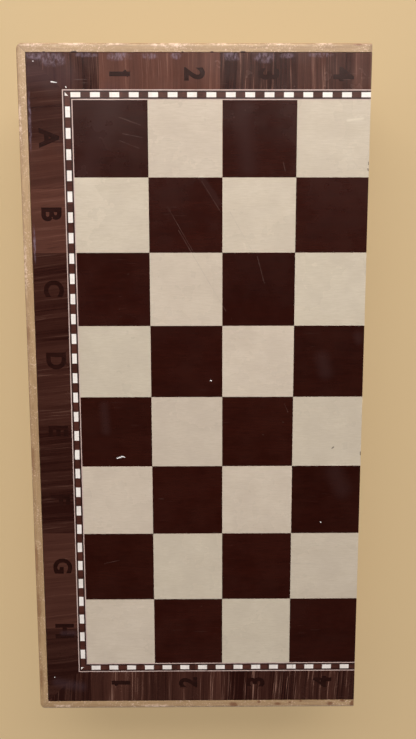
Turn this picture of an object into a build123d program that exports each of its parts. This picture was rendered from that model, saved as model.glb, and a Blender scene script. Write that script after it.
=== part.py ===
from build123d import *
import os

# A folding wooden chess board that closes into a box for its men, closed and lying flat.
# X runs across the box towards the hinged edge, Y along it towards the A end, and Z is up.
# The origin is the middle of the underside, which is the play face of ranks 5 to 8.
# All sizes are in millimetres.

# Squares
square = 42.0
files = 8  # squares along the box, A to H
ranks = 4  # squares across each half
fold_trim = 0.8  # what sawing the board in two took off the rank beside the cut
glue_line = 0.06  # between neighbouring squares

# Banding round the squares: line, dark line, row of blocks, dark line, line
line_width = 0.55
dark_line_width = 0.92
block_width = 2.7
side_block_length = 5.8
side_block_pitch = 11.55
side_block_start = 3.5  # from the A end of the squares
a_end_block_length = 5.45
a_end_block_pitch = 10.85
a_end_block_start = -0.9  # from the outer side of the squares
h_end_block_length = 5.55
h_end_block_pitch = 11.1
h_end_block_start = 2.4

# Border, panel and tray
border_width = 19.5
veneer = 0.5
panel_thickness = 4.0
panel_seam = 0.3  # between the panel and the lip of the rails
lip_width = 5.6  # rail that shows round the panel
rail_thickness = 9.0
tray_height = 24.0
edge_round = 2.4  # along the outer edges of the play face
corner_radius = 3.4  # outer corners, seen from above
spine_corner_radius = 1.8
rim_chamfer = 0.6
closing_gap = 0.3  # between the rims of the closed trays
spine_gap = 0.2  # between the sawn edges of the opened board

# Butt hinges
hinge_inset = 73.3  # end of the box to the middle of the hinge
hinge_length = 32.0
leaf_width = 10.5  # from the pin to the leaf's free edge
leaf_thickness = 0.9
leaf_setback = 0.25  # leaf face behind the pin's centre
knuckles = 3
knuckle_radius = 1.9
knuckle_gap = 0.15  # end play between knuckles
knuckle_clearance = 0.3
pin_radius = 0.9
pin_fit = 0.02  # in the lower leaf, which holds it
pin_running_fit = 0.05  # in the upper leaf, which turns on it
mortise_clearance = 0.15
screw_hole_radius = 1.15
screw_sink_radius = 2.05
screw_sink_angle = 90.0
screw_inset = 6.5  # end of the leaf to the middle of a screw
screw_height = 6.3  # from the pin

# Hooks on the outer side
hook_inset = 93.3  # end of the box to the hook
hook_reach = 12.0  # pivot to catch pin
hook_thickness = 1.3
hook_eye_radius = 3.2
hook_end_radius = 3.8
hook_tab_radius = 1.3
hook_tab_drop = 2.9  # below the catch, where a finger pushes
hook_tab_offset = 1.7
mouth_sweep = 30.0  # degrees of arc that the mouth is cut through
mouth_clearance = 0.45
hook_play = 0.3  # between the hook and the wood behind it, or a head in front of it
pivot_radius = 1.2
pivot_running_fit = 0.06
pivot_head_radius = 2.6
pivot_head_height = 1.2
catch_radius = 1.3
catch_head_radius = 2.4
catch_head_height = 1.1
sunk_length = 7.0  # of a pivot or a catch pin, in the wood
sunk_fit = 0.05
slot_width = 0.6
slot_depth = 0.5

# Across the box, from the sawn edge to the outer side
banding_width = 2 * line_width + 2 * dark_line_width + block_width
inlay_width = banding_width + border_width
edge_width = inlay_width + panel_seam + lip_width
tray_width = ranks * square - fold_trim + edge_width
tray_length = files * square + 2 * edge_width
total_height = 2 * tray_height + closing_gap
spine_x = tray_width / 2
outer_x = -tray_width / 2
squares_x = outer_x + edge_width
squares_y = files * square / 2
end_y = tray_length / 2
panel_depth = veneer + panel_thickness
axis_x = spine_x + spine_gap / 2
axis_z = total_height / 2
hinge_y = end_y - hinge_inset
hook_y = end_y - hook_inset

# The play face of each tray, its rim, and the way from the rim to the face
face_z = {"upper": total_height, "lower": 0.0}
rim_z = {"upper": total_height - tray_height, "lower": tray_height}
outward = {"upper": 1, "lower": -1}
halves = ("upper", "lower")
ends = ("a", "h")
end_side = {"a": 1, "h": -1}

os.makedirs("parts", exist_ok=True)


def keep(piece, name):
    piece.part.label = name
    export_step(piece.part, f"parts/{name}.step")


def at_depth(half, depth):
    return Plane.XY.offset(face_z[half] - outward[half] * depth)


def strips(inner, outer):
    # Three mitred strips round the squares, between two distances from them
    side = [
        (squares_x - outer, -squares_y - outer),
        (squares_x - inner, -squares_y - inner),
        (squares_x - inner, squares_y + inner),
        (squares_x - outer, squares_y + outer),
    ]
    a_end = [
        (squares_x - inner, squares_y + inner),
        (spine_x, squares_y + inner),
        (spine_x, squares_y + outer),
        (squares_x - outer, squares_y + outer),
    ]
    h_end = [(x, -y) for x, y in a_end]
    return {"outer": side, "a_end": a_end, "h_end": h_end}


def tray_rails(half):
    way = outward[half]
    face_side = -1 if half == "upper" else 0
    rim_side = -1 - face_side
    rim = Plane.XY.offset(rim_z[half])
    pocket_x = squares_x - inlay_width - panel_seam
    pocket_y = squares_y + inlay_width + panel_seam

    # The whole tray frame, before it is cut into rails
    with BuildPart() as frame:
        with BuildSketch(rim) as plan:
            Rectangle(tray_width, tray_length)
            fillet(plan.vertices().group_by(Axis.X)[0], corner_radius)
        extrude(amount=way * tray_height)
        fillet(frame.faces().sort_by(Axis.Z)[face_side].edges().sort_by(Axis.X)[:-1], edge_round)
        chamfer(frame.faces().sort_by(Axis.Z)[rim_side].edges().sort_by(Axis.X)[:-1], rim_chamfer)
        with BuildSketch(rim) as eased_plan:
            Rectangle(tray_width, tray_length)
            fillet(eased_plan.vertices().group_by(Axis.X)[-1], spine_corner_radius)
        extrude(amount=way * tray_height, mode=Mode.INTERSECT)
        with BuildSketch(at_depth(half, 0)):
            with Locations(((pocket_x + spine_x) / 2, 0)):
                Rectangle(spine_x - pocket_x, 2 * pocket_y)
        extrude(amount=-way * panel_depth, mode=Mode.SUBTRACT)
        with BuildSketch(rim):
            Rectangle(tray_width - 2 * rail_thickness, tray_length - 2 * rail_thickness)
        extrude(amount=way * tray_height, mode=Mode.SUBTRACT)

    inner_x = outer_x + rail_thickness
    inner_y = end_y - rail_thickness
    a_end = [(outer_x, end_y), (inner_x, inner_y), (spine_x, inner_y), (spine_x, end_y)]
    cuts = {
        "outer_rail": [(outer_x, -end_y), (inner_x, -inner_y), (inner_x, inner_y), (outer_x, end_y)],
        "a_end_rail": a_end,
        "h_end_rail": [(x, -y) for x, y in a_end],
        "hinge_rail": [(0, -inner_y), (spine_x, -inner_y), (spine_x, inner_y), (0, inner_y)],
    }
    for name, outline in cuts.items():
        with BuildPart() as rail:
            add(frame.part)
            with BuildSketch(rim):
                Polygon(*outline, align=None)
            extrude(amount=way * tray_height, mode=Mode.INTERSECT)
            if name == "hinge_rail":
                cut_hinge_seats(half)
            if name == "outer_rail":
                bore_hook_holes(half)
        keep(rail, f"{half}_{name}")


def cut_hinge_seats(half):
    # A mortise as deep as each leaf lies, and a round groove for the knuckles
    way = outward[half]
    seat_length = hinge_length + 2 * mortise_clearance
    seat_height = leaf_width + mortise_clearance
    for end in ends:
        middle = end_side[end] * hinge_y
        with BuildSketch(Plane.YZ.offset(axis_x - leaf_setback - leaf_thickness)) as mortise:
            with Locations((middle, axis_z + way * seat_height / 2)):
                Rectangle(seat_length, seat_height)
        extrude(mortise.sketch, amount=leaf_setback + leaf_thickness, mode=Mode.SUBTRACT)
        with BuildSketch(Plane.XZ.offset(-middle)) as groove:
            with Locations((axis_x, axis_z)):
                Circle(knuckle_radius + knuckle_clearance)
        extrude(groove.sketch, amount=seat_length / 2, both=True, mode=Mode.SUBTRACT)


def bore_hook_holes(half):
    # The catch pins are in the upper tray and the pivots in the lower one
    radius = catch_radius if half == "upper" else pivot_radius
    with BuildSketch(Plane.YZ.offset(outer_x)) as holes:
        with Locations(*[(end_side[end] * hook_y, hook_z(half)) for end in ends]):
            Circle(radius + sunk_fit)
    extrude(holes.sketch, amount=sunk_length, mode=Mode.SUBTRACT)


def hook_z(half):
    return axis_z + outward[half] * hook_reach / 2


def play_face(half):
    inward = -outward[half]

    with BuildPart() as panel:
        with BuildSketch(at_depth(half, veneer)):
            with Locations(((squares_x - inlay_width + spine_x) / 2, 0)):
                Rectangle(spine_x - squares_x + inlay_width, 2 * (squares_y + inlay_width))
        extrude(amount=inward * panel_thickness)
    keep(panel, f"{half}_panel")

    # A1 is dark, so the half beyond the fold has the colours the other way round
    for colour in ("dark", "light"):
        odd = (colour == "light") == (half == "upper")
        with BuildPart() as squares:
            with BuildSketch(at_depth(half, 0)):
                for rank in range(ranks):
                    x_low = squares_x + rank * square
                    x_high = min(x_low + square, spine_x)
                    rows = [row for row in range(files) if (row + rank) % 2 == odd]
                    with Locations(*[((x_low + x_high) / 2, squares_y - (row + 0.5) * square) for row in rows]):
                        Rectangle(x_high - x_low - glue_line, square - glue_line)
            extrude(amount=inward * veneer)
        keep(squares, f"{half}_{colour}_squares")

    for side, outline in strips(banding_width, inlay_width).items():
        with BuildPart() as border:
            with BuildSketch(at_depth(half, 0)):
                Polygon(*outline, align=None)
            extrude(amount=inward * veneer)
        keep(border, f"{half}_border_{side}")

    blocks_at = line_width + dark_line_width
    blocks_end = blocks_at + block_width
    line_edges = {
        "light_lines": [(0, line_width), (banding_width - line_width, banding_width)],
        "dark_lines": [(line_width, blocks_at), (blocks_end, banding_width - line_width)],
    }
    for name, edges in line_edges.items():
        with BuildPart() as lines:
            for inner, outer in edges:
                with BuildSketch(at_depth(half, 0)):
                    for outline in strips(inner, outer).values():
                        Polygon(*outline, align=None)
                extrude(amount=inward * veneer)
        keep(lines, f"{half}_banding_{name}")

    block_strips = strips(blocks_at, blocks_end)
    with BuildPart() as light_blocks:
        for side, outline in block_strips.items():
            with BuildSketch(at_depth(half, 0)):
                draw_blocks(side)
                Polygon(*outline, align=None, mode=Mode.INTERSECT)
            extrude(amount=inward * veneer)
    keep(light_blocks, f"{half}_banding_light_blocks")

    with BuildPart() as dark_blocks:
        for side, outline in block_strips.items():
            with BuildSketch(at_depth(half, 0)):
                Polygon(*outline, align=None)
                draw_blocks(side, Mode.SUBTRACT)
            extrude(amount=inward * veneer)
    keep(dark_blocks, f"{half}_banding_dark_blocks")


def draw_blocks(side, mode=Mode.ADD):
    # The light blocks of one strip, evenly pitched from its own start
    row_middle = line_width + dark_line_width + block_width / 2
    if side == "outer":
        count = int(2 * squares_y / side_block_pitch) + 2
        starts = [side_block_start + step * side_block_pitch for step in range(-1, count)]
        places = [(squares_x - row_middle, squares_y - start - side_block_length / 2) for start in starts]
        with Locations(*places):
            Rectangle(block_width, side_block_length, mode=mode)
        return
    way = 1 if side == "a_end" else -1
    start = a_end_block_start if side == "a_end" else h_end_block_start
    pitch = a_end_block_pitch if side == "a_end" else h_end_block_pitch
    length = a_end_block_length if side == "a_end" else h_end_block_length
    room = spine_x - squares_x - start
    for step in range(int(room / pitch) + 1):
        x_low = squares_x + start + step * pitch
        x_high = min(x_low + length, spine_x)
        with Locations(((x_low + x_high) / 2, way * (squares_y + row_middle))):
            Rectangle(x_high - x_low, block_width, mode=mode)


def hinge(end):
    # Rolled brass leaves, whose knuckles take turns along the pin
    middle = end_side[end] * hinge_y
    first = middle - hinge_length / 2
    pitch = hinge_length / knuckles
    for half in halves:
        way = outward[half]
        own = [k for k in range(knuckles) if (k % 2 == 0) == (half == "lower")]
        other = [k for k in range(knuckles) if k not in own]
        bore = pin_radius + (pin_running_fit if half == "upper" else pin_fit)
        with BuildPart() as leaf:
            with BuildSketch(Plane.YZ.offset(axis_x - leaf_setback - leaf_thickness)):
                with Locations((middle, axis_z + way * leaf_width / 2)):
                    Rectangle(hinge_length, leaf_width)
            extrude(amount=leaf_thickness)
            for k in other:
                with BuildSketch(Plane.XZ.offset(-(first + (k + 0.5) * pitch))):
                    with Locations((axis_x, axis_z)):
                        Circle(knuckle_radius + knuckle_clearance)
                extrude(amount=(pitch + knuckle_gap) / 2, both=True, mode=Mode.SUBTRACT)
            for k in own:
                with BuildSketch(Plane.XZ.offset(-(first + (k + 0.5) * pitch))):
                    with Locations((axis_x, axis_z)):
                        Circle(knuckle_radius)
                extrude(amount=(pitch - knuckle_gap) / 2, both=True)
            with BuildSketch(Plane.XZ.offset(-middle)):
                with Locations((axis_x, axis_z)):
                    Circle(bore)
            extrude(amount=hinge_length / 2, both=True, mode=Mode.SUBTRACT)
            with Locations(*screw_seats(half, end)):
                CounterSinkHole(
                    radius=screw_hole_radius,
                    counter_sink_radius=screw_sink_radius,
                    depth=leaf_thickness,
                    counter_sink_angle=screw_sink_angle,
                )
        keep(leaf, f"hinge_{end}_{half}_leaf")

    with BuildPart() as pin:
        with BuildSketch(Plane.XZ.offset(-middle)):
            with Locations((axis_x, axis_z)):
                Circle(pin_radius)
        extrude(amount=(hinge_length - knuckle_gap) / 2, both=True)
    keep(pin, f"hinge_{end}_pin")


def screw_seats(half, end):
    # Planes on the leaf's face, looking out of the spine
    face_x = axis_x - leaf_setback
    z = axis_z + outward[half] * screw_height
    spread = hinge_length / 2 - screw_inset
    rows = [end_side[end] * hinge_y - spread, end_side[end] * hinge_y + spread]
    return [Plane(origin=(face_x, y, z), x_dir=(0, 1, 0), z_dir=(1, 0, 0)) for y in rows]


def side_plane(half, end, height):
    # A plane that faces out of the outer side, with its own Y up
    origin = (outer_x - height, end_side[end] * hook_y, hook_z(half))
    return Plane(origin=origin, x_dir=(0, -1, 0), z_dir=(-1, 0, 0))


def hooks():
    # Stamped hooks, hanging free from their pivots with the mouth to the side they swing to
    mouth_width = 2 * (catch_radius + mouth_clearance)
    for end in ends:
        with BuildPart() as hook:
            with BuildSketch(side_plane("lower", end, hook_play)):
                Circle(hook_eye_radius)
                with Locations((0, -hook_reach)):
                    Circle(hook_end_radius)
                make_hull()
                with BuildSketch(mode=Mode.PRIVATE) as tab:
                    with Locations((0, -hook_reach), (-hook_tab_offset, -hook_reach - hook_tab_drop)):
                        Circle(hook_tab_radius)
                    make_hull()
                add(tab.sketch)
                with BuildLine(mode=Mode.PRIVATE) as mouth:
                    CenterArc((0, 0), hook_reach, -90, mouth_sweep)
                SlotArc(mouth.edge(), mouth_width, mode=Mode.SUBTRACT)
                Circle(pivot_radius + pivot_running_fit, mode=Mode.SUBTRACT)
            extrude(amount=hook_thickness)
        keep(hook, f"hook_{end}")

    # Round-headed screws for the hooks to turn on, and plain pins for them to catch
    head_base = hook_thickness + 2 * hook_play
    with BuildPart() as pivot:
        round_headed_pin(pivot_radius, pivot_head_radius, pivot_head_height, head_base)
        with BuildSketch(Plane.XY.offset(head_base + pivot_head_height)):
            Rectangle(2 * pivot_head_radius, slot_width)
        extrude(amount=-slot_depth, mode=Mode.SUBTRACT)
    with BuildPart() as catch:
        round_headed_pin(catch_radius, catch_head_radius, catch_head_height, head_base)
    for half, name, pin in (("lower", "hook_pivot_screws", pivot), ("upper", "catch_pins", catch)):
        with BuildPart() as pair:
            with Locations(*[side_plane(half, end, 0) for end in ends]):
                add(pin.part)
        keep(pair, name)


def round_headed_pin(radius, head_radius, head_height, head_base):
    # Stands on Z, with the wood below Z = 0
    with BuildSketch(Plane.XZ) as profile:
        with BuildLine():
            rim = (head_radius, head_base)
            top = (0, head_base + head_height)
            Polyline(top, (0, -sunk_length), (radius, -sunk_length), (radius, head_base), rim)
            RadiusArc(rim, top, -dome_radius(head_radius, head_height))
        make_face()
    revolve(profile.sketch, axis=Axis.Z)


def dome_radius(radius, height):
    # The sphere of a round head that is this wide and this high
    return (radius**2 + height**2) / (2 * height)


for half in halves:
    tray_rails(half)
    play_face(half)
for end in ends:
    hinge(end)
hooks()
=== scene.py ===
import bpy
import math
from mathutils import Matrix, Vector


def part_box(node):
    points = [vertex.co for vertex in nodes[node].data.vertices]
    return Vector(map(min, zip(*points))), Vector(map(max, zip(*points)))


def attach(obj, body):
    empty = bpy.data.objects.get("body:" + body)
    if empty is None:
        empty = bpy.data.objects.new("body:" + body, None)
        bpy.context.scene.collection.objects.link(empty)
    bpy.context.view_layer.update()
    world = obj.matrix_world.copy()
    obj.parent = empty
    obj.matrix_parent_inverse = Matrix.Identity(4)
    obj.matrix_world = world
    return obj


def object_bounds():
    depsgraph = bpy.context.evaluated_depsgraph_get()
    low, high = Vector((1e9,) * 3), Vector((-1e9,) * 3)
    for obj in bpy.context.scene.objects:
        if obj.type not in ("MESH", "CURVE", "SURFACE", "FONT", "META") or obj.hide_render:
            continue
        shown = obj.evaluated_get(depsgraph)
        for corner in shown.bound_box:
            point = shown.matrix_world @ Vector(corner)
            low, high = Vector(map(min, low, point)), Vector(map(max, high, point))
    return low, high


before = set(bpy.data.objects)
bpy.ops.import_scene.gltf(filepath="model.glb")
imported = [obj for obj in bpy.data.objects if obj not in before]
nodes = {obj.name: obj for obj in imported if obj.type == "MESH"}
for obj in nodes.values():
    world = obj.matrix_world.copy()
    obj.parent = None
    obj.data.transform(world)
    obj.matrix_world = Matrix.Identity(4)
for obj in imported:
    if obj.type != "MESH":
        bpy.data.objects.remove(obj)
cadLow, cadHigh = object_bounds()

# The squares' corner beside A1, taken from the frame; X runs to the fold and Y to the A end
gridLow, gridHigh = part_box("upper_dark_squares")
squareSize = (gridHigh.y - gridLow.y) / 8
faceHeight = gridHigh.z
midHeight = faceHeight / 2
mm = 1000  # the finishes work in millimetres
print("frame loaded,", len(nodes), "nodes, squares of", round(mm * squareSize, 2), "mm")


def screenColour(red, green, blue):  # from 0-255 as seen on a screen to what a shader takes
    def straight(value):
        value = value / 255
        return value / 12.92 if value <= 0.04045 else ((value + 0.055) / 1.055) ** 2.4
    return (straight(red), straight(green), straight(blue), 1.0)


def facePoint(across, down, level):  # counted in squares from A1's corner
    return (gridLow.x + across * squareSize, gridHigh.y - down * squareSize, level)


def onFace(across, down):  # a place on the upper face, in millimetres
    return tuple(mm * value for value in facePoint(across, down, faceHeight))


def addNode(tree, kind, inputs=(), **settings):
    node = tree.nodes.new(kind)
    for name, value in settings.items():
        setattr(node, name, value)
    for key, value in (inputs.items() if isinstance(inputs, dict) else enumerate(inputs)):
        if isinstance(value, bpy.types.NodeSocket):
            tree.links.new(value, node.inputs[key])
        else:
            node.inputs[key].default_value = value
    return node


def calc(tree, operation, *values, clamp=False):
    return addNode(tree, "ShaderNodeMath", values, operation=operation, use_clamp=clamp).outputs[0]


def times(tree, first, second):
    return calc(tree, "MULTIPLY", first, second)


def minus(tree, first, second):
    return calc(tree, "SUBTRACT", first, second)


def vectorCalc(tree, operation, *values):
    node = addNode(tree, "ShaderNodeVectorMath", values, operation=operation)
    return node.outputs["Value" if operation in ("LENGTH", "DOT_PRODUCT", "DISTANCE") else "Vector"]


def scaleVector(tree, vector, scale):
    return addNode(tree, "ShaderNodeVectorMath", {0: vector, "Scale": scale}, operation="SCALE").outputs[0]


def combine(tree, x, y, z):
    return addNode(tree, "ShaderNodeCombineXYZ", (x, y, z)).outputs[0]


def separate(tree, vector):
    return addNode(tree, "ShaderNodeSeparateXYZ", (vector,)).outputs


def remap(tree, value, fromLow, fromHigh, toLow=0.0, toHigh=1.0):
    inputs = (value, fromLow, fromHigh, toLow, toHigh)
    return addNode(tree, "ShaderNodeMapRange", inputs, interpolation_type="SMOOTHSTEP").outputs[0]


def noise(tree, vector, size, detail=2.0, roughness=0.5):  # size: a feature's width in the vector's units
    inputs = {"Vector": vector, "Scale": 1 / size, "Detail": detail, "Roughness": roughness}
    return addNode(tree, "ShaderNodeTexNoise", inputs).outputs[0]


def noiseMask(tree, vector, shape, edges):  # shape goes to noise, edges to remap
    return remap(tree, noise(tree, vector, *shape), *edges)


def centred(tree, value):  # from 0 to 1 to either side of 0
    return minus(tree, value, 0.5)


def weighted(tree, *parts):  # the sum of each value times its share
    scaled = [times(tree, value, share) for value, share in parts]
    total = scaled[0]
    for part in scaled[1:]:
        total = calc(tree, "ADD", total, part)
    return total


def most(tree, masks):
    total = masks[0]
    for mask in masks[1:]:
        total = calc(tree, "MAXIMUM", total, mask)
    return total


def mixColour(tree, amount, first, second, blend="MIX"):
    inputs = {0: amount, 6: first, 7: second}
    return addNode(tree, "ShaderNodeMix", inputs, data_type="RGBA", blend_type=blend).outputs[2]


def layOver(tree, base, colour, mask, strength=1.0):  # a colour over the base where the mask is
    return mixColour(tree, times(tree, mask, strength), base, colour)


def newGroup(name, inputs, outputs):
    group = bpy.data.node_groups.new(name, "ShaderNodeTree")
    for title, kind, value in inputs:
        socket = group.interface.new_socket(name=title, in_out="INPUT", socket_type="NodeSocket" + kind)
        socket.default_value = value
    for title in outputs:
        group.interface.new_socket(name=title, in_out="OUTPUT", socket_type="NodeSocketFloat")
    start = group.nodes.new("NodeGroupInput")
    end = group.nodes.new("NodeGroupOutput")
    return group, start.outputs, end.inputs


def putOut(group, out, **values):
    for title, value in values.items():
        group.links.new(value, out[title])


def useGroup(tree, group, inputs):
    return addNode(tree, "ShaderNodeGroup", inputs, node_tree=group).outputs


def seeded(group, given, steps):  # each seed has its own stretch of an endless pattern
    shift = combine(group, *[times(group, given["Seed"], step) for step in steps])
    return vectorCalc(group, "ADD", given["Vector"], shift)


# Wood grain that runs along the vector's X, in millimetres
grainPattern = {  # bands, fibres and pores: the noise's detail and roughness, then its edges
    "seedSteps": (317.3, 171.9, 53.7), "driftSize": 45.0, "fibreHeight": 0.6,
    "bands": ((3.0, 0.55), (0.32, 0.68)), "fibres": ((4.0, 0.65), (0.3, 0.7)),
    "pores": ((2.0, 0.5), (0.6, 0.7)), "poreSize": 0.45,  # against the fibres'
}


def makeWoodGrain():
    look = grainPattern
    group, given, out = newGroup(
        "woodGrain",
        [("Vector", "Vector", (0, 0, 0)), ("Stretch", "Float", 20.0), ("Band", "Float", 8.0),
         ("Fibre", "Float", 0.7), ("Wander", "Float", 1.5), ("Seed", "Float", 0.0)],
        ["Bands", "Fibres", "Pores", "Height"])
    moved = seeded(group, given, look["seedSteps"])
    drift = times(group, centred(group, noise(group, moved, look["driftSize"])), given["Wander"])
    bent = vectorCalc(group, "ADD", moved, combine(group, 0.0, drift, 0.0))
    along = vectorCalc(group, "DIVIDE", bent, combine(group, given["Stretch"], 1.0, 1.0))

    def figure(size, detail, edges):
        scaled = vectorCalc(group, "DIVIDE", along, combine(group, size, size, size))
        return noiseMask(group, scaled, (1.0, *detail), edges)

    bands = figure(given["Band"], *look["bands"])
    fibres = figure(given["Fibre"], *look["fibres"])
    pores = figure(times(group, given["Fibre"], look["poreSize"]), *look["pores"])
    height = minus(group, times(group, fibres, look["fibreHeight"]), pores)
    putOut(group, out, Bands=bands, Fibres=fibres, Pores=pores, Height=height)
    return group


# The lacquer's smears, fine handling scratches and dust, in millimetres
filmPattern = {
    "seedSteps": (97.1, 0.0, 41.3),
    "smears": ((60.0, 0.65), (11.0, 0.35)), "smearNoise": (3.0, 0.6),  # smears: size and share
    "hairWays": ((0.5, 30.0), (-0.9, 22.0), (2.0, 40.0)),  # turn in radians, and length
    "hairlines": ((0.55, 1.0), (0.735, 0.775)), "hairDepth": 0.02, "hairPatches": ((26.0,), (0.52, 0.66)),
    "dustSpacing": 6.0, "dustLeftOut": 0.8, "dustEdges": (0.028, 0.018), "unevenness": 2.2,
}


def makeLacquerFilm():
    look = filmPattern
    group, given, out = newGroup(
        "lacquerFilm", [("Vector", "Vector", (0, 0, 0)), ("Seed", "Float", 0.0)],
        ["Smears", "Hairlines", "Dust", "Height"])
    moved = seeded(group, given, look["seedSteps"])
    smears = weighted(group, *[(noise(group, moved, size, *look["smearNoise"]), share)
                               for size, share in look["smears"]])
    hairlines = 0.0
    for turn, length in look["hairWays"]:
        inputs = {"Vector": moved, "Rotation": (0, 0, turn), "Scale": (1 / length, 1.0, look["hairDepth"])}
        turned = addNode(group, "ShaderNodeMapping", inputs).outputs[0]
        hairlines = calc(group, "ADD", hairlines, noiseMask(group, turned, *look["hairlines"]))
    here = noiseMask(group, moved, *look["hairPatches"])
    hairlines = calc(group, "MULTIPLY", hairlines, here, clamp=True)
    cells = addNode(group, "ShaderNodeTexVoronoi", {"Vector": moved, "Scale": 1 / look["dustSpacing"]})
    chance = addNode(group, "ShaderNodeSeparateColor", (cells.outputs["Color"],)).outputs[0]
    few = calc(group, "GREATER_THAN", chance, look["dustLeftOut"])
    specks = times(group, remap(group, cells.outputs["Distance"], *look["dustEdges"]), few)
    height = minus(group, noise(group, moved, look["unevenness"]), hairlines)
    putOut(group, out, Smears=smears, Hairlines=hairlines, Dust=specks, Height=height)
    return group


# Strokes from a start to an end: a scratch with an uneven width, and a painted reflection with no edge
strokePattern = {"unevenness": ((3.5,), (0.3, 0.7, 0.5, 1.4)), "scratchCore": 0.6}


def newStroke(name, width):
    group, given, out = newGroup(
        name,
        [("Vector", "Vector", (0, 0, 0)), ("Start", "Vector", (0, 0, 0)), ("End", "Vector", (1, 0, 0)),
         ("Width", "Float", width)], ["Mask"])
    reach = vectorCalc(group, "SUBTRACT", given["Vector"], given["Start"])
    way = vectorCalc(group, "SUBTRACT", given["End"], given["Start"])
    share = calc(group, "DIVIDE", vectorCalc(group, "DOT_PRODUCT", reach, way),
                 vectorCalc(group, "DOT_PRODUCT", way, way), clamp=True)
    apart = vectorCalc(group, "DISTANCE", reach, scaleVector(group, way, share))
    return group, given, out, apart


def makeScratchMark():
    look = strokePattern
    group, given, out, apart = newStroke("scratchMark", 0.3)
    width = times(group, given["Width"], noiseMask(group, given["Vector"], *look["unevenness"]))
    mask = calc(group, "SUBTRACT", 1.0, calc(group, "DIVIDE", apart, width, clamp=True), clamp=True)
    putOut(group, out, Mask=remap(group, mask, 0.0, look["scratchCore"]))
    return group


def makeSoftStroke():
    group, given, out, apart = newStroke("softStroke", 5.0)
    putOut(group, out, Mask=remap(group, calc(group, "DIVIDE", apart, given["Width"]), 1.0, 0.0))
    return group


# A soft patch with a ragged edge
blotchPattern = {"ripple": (3.0, 4.0, 0.65), "rippleReach": 2.0, "core": 0.35}


def makeBlotch():
    look = blotchPattern
    group, given, out = newGroup(
        "blotch",
        [("Vector", "Vector", (0, 0, 0)), ("Centre", "Vector", (0, 0, 0)), ("Size", "Vector", (5, 5, 5)),
         ("Ragged", "Float", 0.5)], ["Mask"])
    offset = vectorCalc(group, "SUBTRACT", given["Vector"], given["Centre"])
    reach = vectorCalc(group, "DIVIDE", offset, given["Size"])
    ripple = centred(group, noise(group, given["Vector"], *look["ripple"]))
    ripple = times(group, times(group, ripple, given["Ragged"]), look["rippleReach"])
    far = calc(group, "ADD", vectorCalc(group, "LENGTH", reach), ripple)
    putOut(group, out, Mask=remap(group, far, 1.0, look["core"]))
    return group


# How near a place is to an edge of a box, for edges coloured darker
edgePattern = {"ripple": ((7.0, 4.0, 0.6), (0.3, 0.7, 0.5, 1.2)), "core": 0.2}


def makeEdgeNearness():
    look = edgePattern
    group, given, out = newGroup(
        "edgeNearness",
        [("Vector", "Vector", (0, 0, 0)), ("Low", "Vector", (0, 0, 0)), ("High", "Vector", (1, 1, 1)),
         ("Reach", "Float", 3.0)], ["Edge"])
    low = vectorCalc(group, "ABSOLUTE", vectorCalc(group, "SUBTRACT", given["Vector"], given["Low"]))
    high = vectorCalc(group, "ABSOLUTE", vectorCalc(group, "SUBTRACT", given["High"], given["Vector"]))
    x, y, z = separate(group, vectorCalc(group, "MINIMUM", low, high))

    # An edge is near where the second of the three depths is small
    least = calc(group, "MINIMUM", calc(group, "MINIMUM", x, y), z)
    greatest = calc(group, "MAXIMUM", calc(group, "MAXIMUM", x, y), z)
    total = calc(group, "ADD", calc(group, "ADD", x, y), z)
    second = minus(group, minus(group, total, least), greatest)
    reach = times(group, given["Reach"], noiseMask(group, given["Vector"], *look["ripple"]))
    putOut(group, out, Edge=remap(group, calc(group, "DIVIDE", second, reach), 1.0, look["core"]))
    return group


woodGrain = makeWoodGrain()
lacquerFilm = makeLacquerFilm()
scratchMark = makeScratchMark()
softStroke = makeSoftStroke()
blotch = makeBlotch()
edgeNearness = makeEdgeNearness()
print("shared effects made")


def strokes(tree, place, shape, marks):
    masks = []
    for start, end, width in marks:
        inputs = {"Vector": place, "Start": onFace(*start), "End": onFace(*end), "Width": width}
        masks.append(useGroup(tree, shape, inputs)["Mask"])
    return most(tree, masks)


def patches(tree, place, spots, depth, sunk, ragged):
    masks = []
    for centre, (wide, high) in spots:
        x, y, z = onFace(*centre)
        inputs = {"Vector": place, "Centre": (x, y, z - sunk), "Size": (wide, high, depth), "Ragged": ragged}
        masks.append(useGroup(tree, blotch, inputs)["Mask"])
    return most(tree, masks)
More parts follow.
